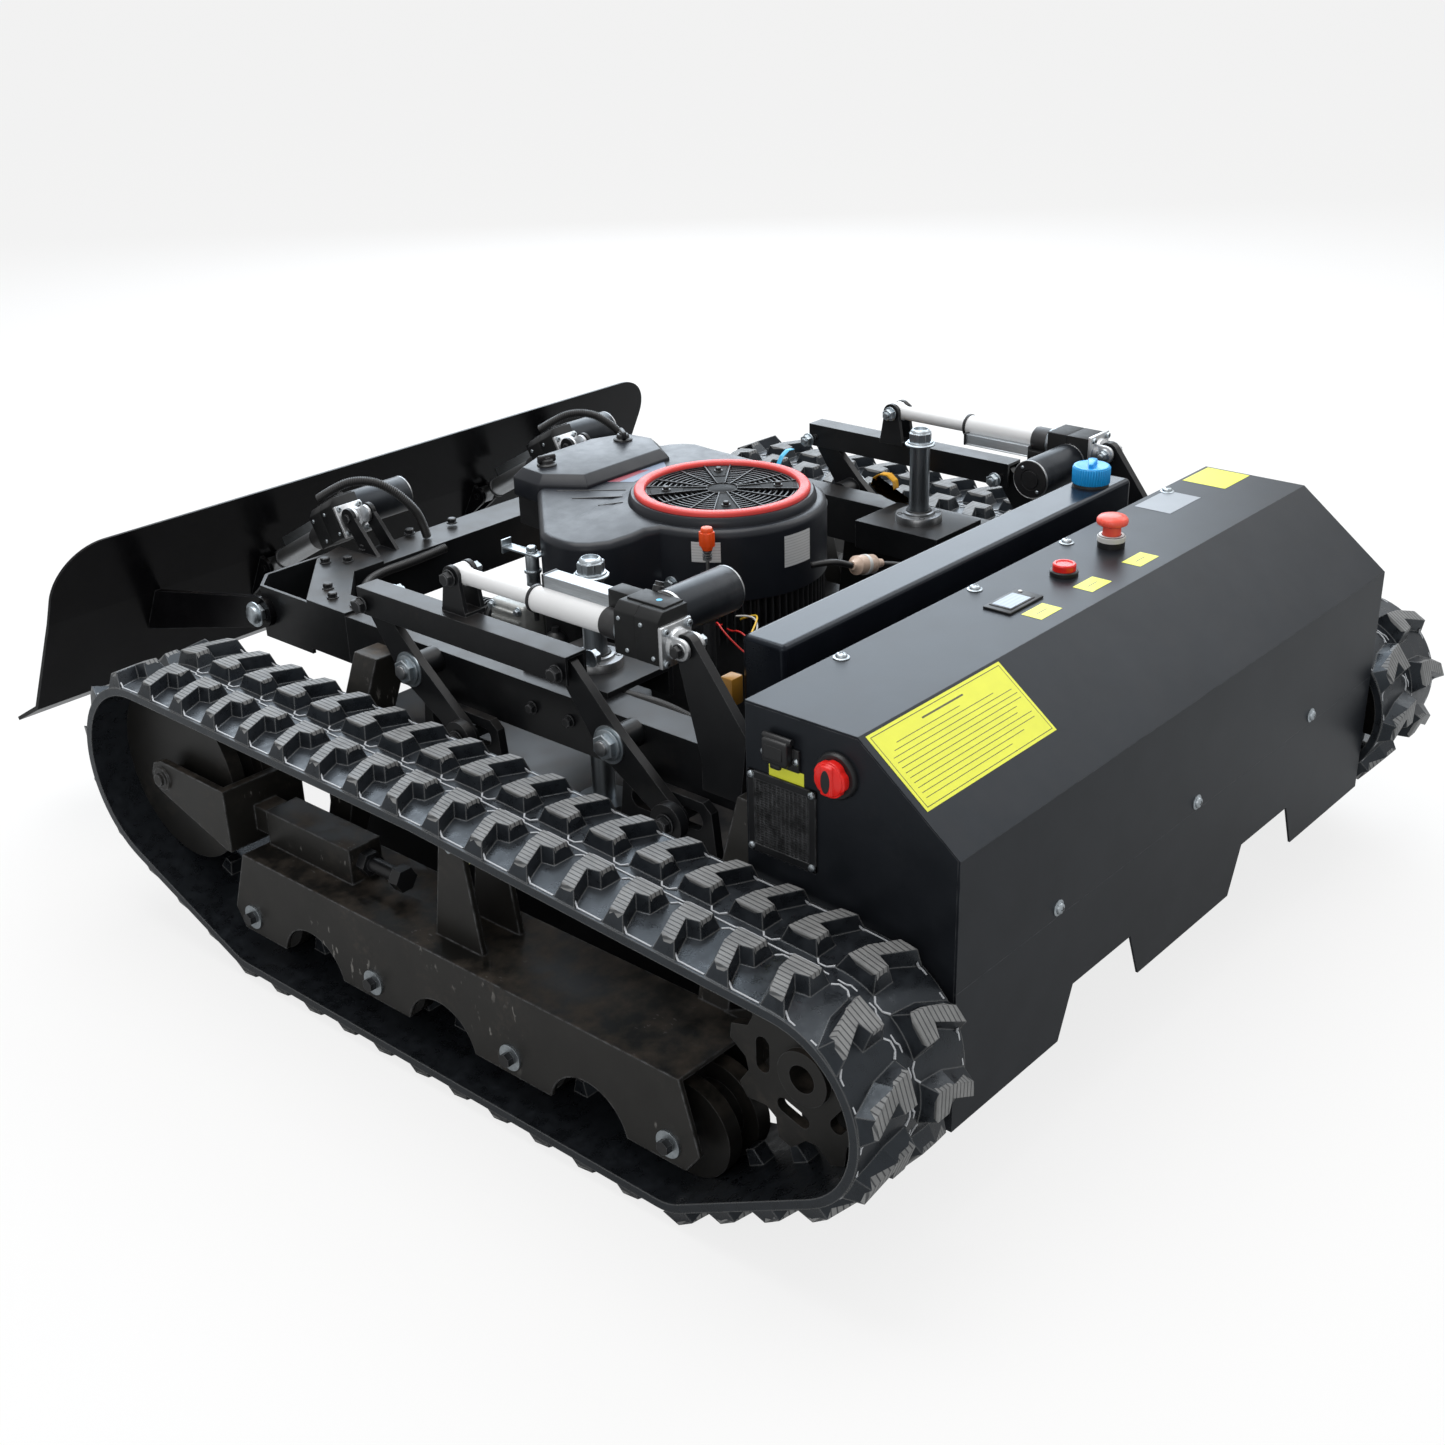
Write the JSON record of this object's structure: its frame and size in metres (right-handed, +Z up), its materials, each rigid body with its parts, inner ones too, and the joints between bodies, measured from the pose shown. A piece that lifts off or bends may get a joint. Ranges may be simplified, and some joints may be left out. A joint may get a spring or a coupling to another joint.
{
  "type": "remote control slope mower",
  "caption": "Low tracked remote controlled slope mower with a front dozer blade, a height-adjustable cutter deck carrying a petrol engine, and a rear control cabinet.",
  "frame": {"origin": "on the ground plane, under the centre of the whole machine's outer box", "axes": "+Y points forward towards the dozer blade, +X to the machine's right, +Z up"},
  "size_m": [1.396, 1.7234, 0.609],
  "materials": {
    "frame_paint": "satin black powder coat",
    "track_rubber": "matt moulded rubber",
    "black_plastic": "matt moulded black plastic",
    "tank_plastic": "smooth black moulded plastic",
    "white_tube": "white enamelled tube",
    "steel_rod": "bright ground steel",
    "zinc_steel": "bright zinc plated steel",
    "engine_metal": "black painted cast aluminium",
    "blade_paint": "satin black paint",
    "cutter_steel": "ground steel",
    "wheel_paint": "black wheel",
    "roller_nylon": "pale yellow green nylon",
    "red_plastic": "red moulded plastic",
    "blue_plastic": "bright blue moulded plastic",
    "conduit_plastic": "black corrugated plastic",
    "dip_plastic": "dark body with a yellow grip"
  },
  "bodies": {
    "chassis": {"side_beam_left": "frame_paint", "side_beam_right": "frame_paint", "front_crossmember": "frame_paint", "rear_crossmember": "frame_paint", "guide_bearings": "frame_paint", "track_frame_left": "frame_paint", "track_frame_right": "frame_paint", "track_left": "track_rubber", "track_right": "track_rubber", "cabinet_body": "frame_paint", "cabinet_cover": "frame_paint", "rear_skirt": "frame_paint", "charging_socket": "black_plastic", "fuel_tank": "tank_plastic", "fasteners": "zinc_steel", "cable_conduits": "conduit_plastic"},
    "deck": {"deck_shell": "frame_paint", "guide_posts": "steel_rod", "engine_block": "engine_metal", "blower_housing": "black_plastic", "filter_cover": "black_plastic", "fan_guard": "black_plastic", "muffler": "cutter_steel"},
    "dipstick": {"dipstick": "dip_plastic"},
    "cutter_blade": {"cutter_blade": "cutter_steel"},
    "dozer_blade": {"dozer_blade": "blade_paint"},
    "fuel_cap": {"fuel_cap": "blue_plastic"},
    "emergency_stop": {"emergency_stop": "red_plastic"},
    "push_button": {"push_button": "red_plastic"},
    "isolator_knob": {"isolator_knob": "red_plastic"},
    "lift_lever_front_left": {"lift_lever_front_left": "frame_paint"},
    "lift_lever_rear_left": {"lift_lever_rear_left": "frame_paint"},
    "sync_bar_left": {"sync_bar_left": "frame_paint"},
    "height_actuator_body_left": {"height_actuator_body_left": "engine_metal"},
    "height_actuator_rod_left": {"height_actuator_rod_left": "steel_rod"},
    "blade_actuator_body_left": {"blade_actuator_body_left": "engine_metal"},
    "blade_actuator_rod_left": {"blade_actuator_rod_left": "steel_rod"},
    "idler_fork_left": {"idler_fork_left": "frame_paint"},
    "idler_left": {"idler_left": "wheel_paint"},
    "sprocket_left": {"sprocket_left": "frame_paint"},
    "carrier_roller_left": {"carrier_roller_left": "roller_nylon"},
    "road_wheel_1_left": {"road_wheel_1_left": "wheel_paint"},
    "road_wheel_2_left": {"road_wheel_2_left": "wheel_paint"},
    "road_wheel_3_left": {"road_wheel_3_left": "wheel_paint"},
    "road_wheel_4_left": {"road_wheel_4_left": "wheel_paint"},
    "lift_lever_front_right": {"lift_lever_front_right": "frame_paint"},
    "lift_lever_rear_right": {"lift_lever_rear_right": "frame_paint"},
    "sync_bar_right": {"sync_bar_right": "frame_paint"},
    "height_actuator_body_right": {"height_actuator_body_right": "engine_metal"},
    "height_actuator_rod_right": {"height_actuator_rod_right": "steel_rod"},
    "blade_actuator_body_right": {"blade_actuator_body_right": "engine_metal"},
    "blade_actuator_rod_right": {"blade_actuator_rod_right": "steel_rod"},
    "idler_fork_right": {"idler_fork_right": "frame_paint"},
    "idler_right": {"idler_right": "wheel_paint"},
    "sprocket_right": {"sprocket_right": "frame_paint"},
    "carrier_roller_right": {"carrier_roller_right": "roller_nylon"},
    "road_wheel_1_right": {"road_wheel_1_right": "wheel_paint"},
    "road_wheel_2_right": {"road_wheel_2_right": "wheel_paint"},
    "road_wheel_3_right": {"road_wheel_3_right": "wheel_paint"},
    "road_wheel_4_right": {"road_wheel_4_right": "wheel_paint"}
  },
  "joints": [
    {"name": "deck_lift", "type": "slide", "parent": "chassis", "child": "deck", "axis": [0, 0, 1], "range_m": [-0.042, 0.012]},
    {"name": "cutter_spin", "type": "hinge", "parent": "deck", "child": "cutter_blade", "pos_m": [0, -0.074, 0.1], "axis": [0, 0, 1], "continuous": true},
    {"name": "dipstick_pull", "type": "slide", "parent": "deck", "child": "dipstick", "axis": [0, 0, 1], "range_m": [0, 0.16]},
    {"name": "dozer_tilt", "type": "hinge", "parent": "chassis", "child": "dozer_blade", "pos_m": [0, 0.425, 0.394], "axis": [1, 0, 0], "range_deg": [-22.7, 8]},
    {"name": "front_lever_left_swing", "type": "hinge", "parent": "chassis", "child": "lift_lever_front_left", "pos_m": [-0.468, 0.053, 0.416], "axis": [1, 0, 0], "range_deg": [-9.5, 31.8]},
    {"name": "rear_lever_left_swing", "type": "hinge", "parent": "chassis", "child": "lift_lever_rear_left", "pos_m": [-0.468, -0.307, 0.416], "axis": [1, 0, 0], "range_deg": [-9.5, 31.8]},
    {"name": "sync_bar_left_swing", "type": "hinge", "parent": "lift_lever_front_left", "child": "sync_bar_left", "pos_m": [-0.468, 0.119, 0.494], "axis": [1, 0, 0], "range_deg": [-31.8, 9.5]},
    {"name": "height_actuator_left_swing", "type": "hinge", "parent": "chassis", "child": "height_actuator_body_left", "pos_m": [-0.455, -0.421, 0.563], "axis": [1, 0, 0], "range_deg": [-1.6, 4.7]},
    {"name": "height_actuator_left_stroke", "type": "slide", "parent": "height_actuator_body_left", "child": "height_actuator_rod_left", "axis": [0, 1, 0], "range_m": [-0.049, 0.016]},
    {"name": "blade_actuator_left_swing", "type": "hinge", "parent": "chassis", "child": "blade_actuator_body_left", "pos_m": [-0.229, 0.453, 0.477], "axis": [1, 0, 0], "range_deg": [-21.5, 8]},
    {"name": "blade_actuator_left_stroke", "type": "slide", "parent": "blade_actuator_body_left", "child": "blade_actuator_rod_left", "axis": [0, 0.8755, -0.4833], "range_m": [-0.013, 0.035]},
    {"name": "sprocket_left_spin", "type": "hinge", "parent": "chassis", "child": "sprocket_left", "pos_m": [-0.608, -0.729, 0.23], "axis": [1, 0, 0], "continuous": true},
    {"name": "idler_fork_left_slide", "type": "slide", "parent": "chassis", "child": "idler_fork_left", "axis": [0, 1, 0], "range_m": [-0.012, 0]},
    {"name": "idler_left_spin", "type": "hinge", "parent": "idler_fork_left", "child": "idler_left", "pos_m": [-0.608, 0.365, 0.238], "axis": [1, 0, 0], "continuous": true},
    {"name": "road_wheel_1_left_spin", "type": "hinge", "parent": "chassis", "child": "road_wheel_1_left", "pos_m": [-0.608, 0.184, 0.0894], "axis": [1, 0, 0], "continuous": true},
    {"name": "road_wheel_2_left_spin", "type": "hinge", "parent": "chassis", "child": "road_wheel_2_left", "pos_m": [-0.608, -0.067, 0.0894], "axis": [1, 0, 0], "continuous": true},
    {"name": "road_wheel_3_left_spin", "type": "hinge", "parent": "chassis", "child": "road_wheel_3_left", "pos_m": [-0.608, -0.318, 0.0894], "axis": [1, 0, 0], "continuous": true},
    {"name": "road_wheel_4_left_spin", "type": "hinge", "parent": "chassis", "child": "road_wheel_4_left", "pos_m": [-0.608, -0.569, 0.0894], "axis": [1, 0, 0], "continuous": true},
    {"name": "carrier_roller_left_spin", "type": "hinge", "parent": "chassis", "child": "carrier_roller_left", "pos_m": [-0.608, -0.203, 0.325], "axis": [1, 0, 0], "continuous": true},
    {"name": "front_lever_right_swing", "type": "hinge", "parent": "chassis", "child": "lift_lever_front_right", "pos_m": [0.468, 0.053, 0.416], "axis": [1, 0, 0], "range_deg": [-9.5, 31.8]},
    {"name": "rear_lever_right_swing", "type": "hinge", "parent": "chassis", "child": "lift_lever_rear_right", "pos_m": [0.468, -0.307, 0.416], "axis": [1, 0, 0], "range_deg": [-9.5, 31.8]},
    {"name": "sync_bar_right_swing", "type": "hinge", "parent": "lift_lever_front_right", "child": "sync_bar_right", "pos_m": [0.468, 0.119, 0.494], "axis": [1, 0, 0], "range_deg": [-31.8, 9.5]},
    {"name": "height_actuator_right_swing", "type": "hinge", "parent": "chassis", "child": "height_actuator_body_right", "pos_m": [0.455, -0.421, 0.563], "axis": [1, 0, 0], "range_deg": [-1.6, 4.7]},
    {"name": "height_actuator_right_stroke", "type": "slide", "parent": "height_actuator_body_right", "child": "height_actuator_rod_right", "axis": [0, 1, 0], "range_m": [-0.049, 0.016]},
    {"name": "blade_actuator_right_swing", "type": "hinge", "parent": "chassis", "child": "blade_actuator_body_right", "pos_m": [0.229, 0.453, 0.477], "axis": [1, 0, 0], "range_deg": [-21.5, 8]},
    {"name": "blade_actuator_right_stroke", "type": "slide", "parent": "blade_actuator_body_right", "child": "blade_actuator_rod_right", "axis": [0, 0.8755, -0.4833], "range_m": [-0.013, 0.035]},
    {"name": "sprocket_right_spin", "type": "hinge", "parent": "chassis", "child": "sprocket_right", "pos_m": [0.608, -0.729, 0.23], "axis": [1, 0, 0], "continuous": true},
    {"name": "idler_fork_right_slide", "type": "slide", "parent": "chassis", "child": "idler_fork_right", "axis": [0, 1, 0], "range_m": [-0.012, 0]},
    {"name": "idler_right_spin", "type": "hinge", "parent": "idler_fork_right", "child": "idler_right", "pos_m": [0.608, 0.365, 0.238], "axis": [1, 0, 0], "continuous": true},
    {"name": "road_wheel_1_right_spin", "type": "hinge", "parent": "chassis", "child": "road_wheel_1_right", "pos_m": [0.608, 0.184, 0.0894], "axis": [1, 0, 0], "continuous": true},
    {"name": "road_wheel_2_right_spin", "type": "hinge", "parent": "chassis", "child": "road_wheel_2_right", "pos_m": [0.608, -0.067, 0.0894], "axis": [1, 0, 0], "continuous": true},
    {"name": "road_wheel_3_right_spin", "type": "hinge", "parent": "chassis", "child": "road_wheel_3_right", "pos_m": [0.608, -0.318, 0.0894], "axis": [1, 0, 0], "continuous": true},
    {"name": "road_wheel_4_right_spin", "type": "hinge", "parent": "chassis", "child": "road_wheel_4_right", "pos_m": [0.608, -0.569, 0.0894], "axis": [1, 0, 0], "continuous": true},
    {"name": "carrier_roller_right_spin", "type": "hinge", "parent": "chassis", "child": "carrier_roller_right", "pos_m": [0.608, -0.203, 0.325], "axis": [1, 0, 0], "continuous": true},
    {"name": "fuel_cap_turn", "type": "hinge", "parent": "chassis", "child": "fuel_cap", "pos_m": [0.325, -0.467, 0.57], "axis": [0, 0, 1], "range_deg": [0, 330]},
    {"name": "emergency_stop_press", "type": "slide", "parent": "chassis", "child": "emergency_stop", "axis": [0, 0, 1], "range_m": [-0.008, 0]},
    {"name": "push_button_press", "type": "slide", "parent": "chassis", "child": "push_button", "axis": [0, 0, 1], "range_m": [-0.003, 0], "stiffness_N_per_m": 900},
    {"name": "isolator_turn", "type": "hinge", "parent": "chassis", "child": "isolator_knob", "pos_m": [-0.507, -0.67, 0.503], "axis": [1, 0, 0], "range_deg": [0, 90]}
  ],
  "couplings": [
    {"joint": "front_lever_left_swing", "follows": "deck_lift", "rad_per_m": -13},
    {"joint": "rear_lever_left_swing", "follows": "deck_lift", "rad_per_m": -13},
    {"joint": "sync_bar_left_swing", "follows": "deck_lift", "rad_per_m": 13},
    {"joint": "height_actuator_left_swing", "follows": "deck_lift", "rad_per_m": -1.8},
    {"joint": "height_actuator_left_stroke", "follows": "deck_lift", "ratio": 1.13},
    {"joint": "blade_actuator_left_swing", "follows": "dozer_tilt", "ratio": 0.915},
    {"joint": "blade_actuator_left_stroke", "follows": "dozer_tilt", "m_per_rad": -0.083},
    {"joint": "idler_left_spin", "follows": "sprocket_left_spin", "ratio": 0.8047},
    {"joint": "road_wheel_1_left_spin", "follows": "sprocket_left_spin", "ratio": 1.7167},
    {"joint": "road_wheel_2_left_spin", "follows": "sprocket_left_spin", "ratio": 1.7167},
    {"joint": "road_wheel_3_left_spin", "follows": "sprocket_left_spin", "ratio": 1.7167},
    {"joint": "road_wheel_4_left_spin", "follows": "sprocket_left_spin", "ratio": 1.7167},
    {"joint": "carrier_roller_left_spin", "follows": "sprocket_left_spin", "ratio": 2.8611},
    {"joint": "front_lever_right_swing", "follows": "deck_lift", "rad_per_m": -13},
    {"joint": "rear_lever_right_swing", "follows": "deck_lift", "rad_per_m": -13},
    {"joint": "sync_bar_right_swing", "follows": "deck_lift", "rad_per_m": 13},
    {"joint": "height_actuator_right_swing", "follows": "deck_lift", "rad_per_m": -1.8},
    {"joint": "height_actuator_right_stroke", "follows": "deck_lift", "ratio": 1.13},
    {"joint": "blade_actuator_right_swing", "follows": "dozer_tilt", "ratio": 0.915},
    {"joint": "blade_actuator_right_stroke", "follows": "dozer_tilt", "m_per_rad": -0.083},
    {"joint": "idler_right_spin", "follows": "sprocket_right_spin", "ratio": 0.8047},
    {"joint": "road_wheel_1_right_spin", "follows": "sprocket_right_spin", "ratio": 1.7167},
    {"joint": "road_wheel_2_right_spin", "follows": "sprocket_right_spin", "ratio": 1.7167},
    {"joint": "road_wheel_3_right_spin", "follows": "sprocket_right_spin", "ratio": 1.7167},
    {"joint": "road_wheel_4_right_spin", "follows": "sprocket_right_spin", "ratio": 1.7167},
    {"joint": "carrier_roller_right_spin", "follows": "sprocket_right_spin", "ratio": 2.8611}
  ]
}
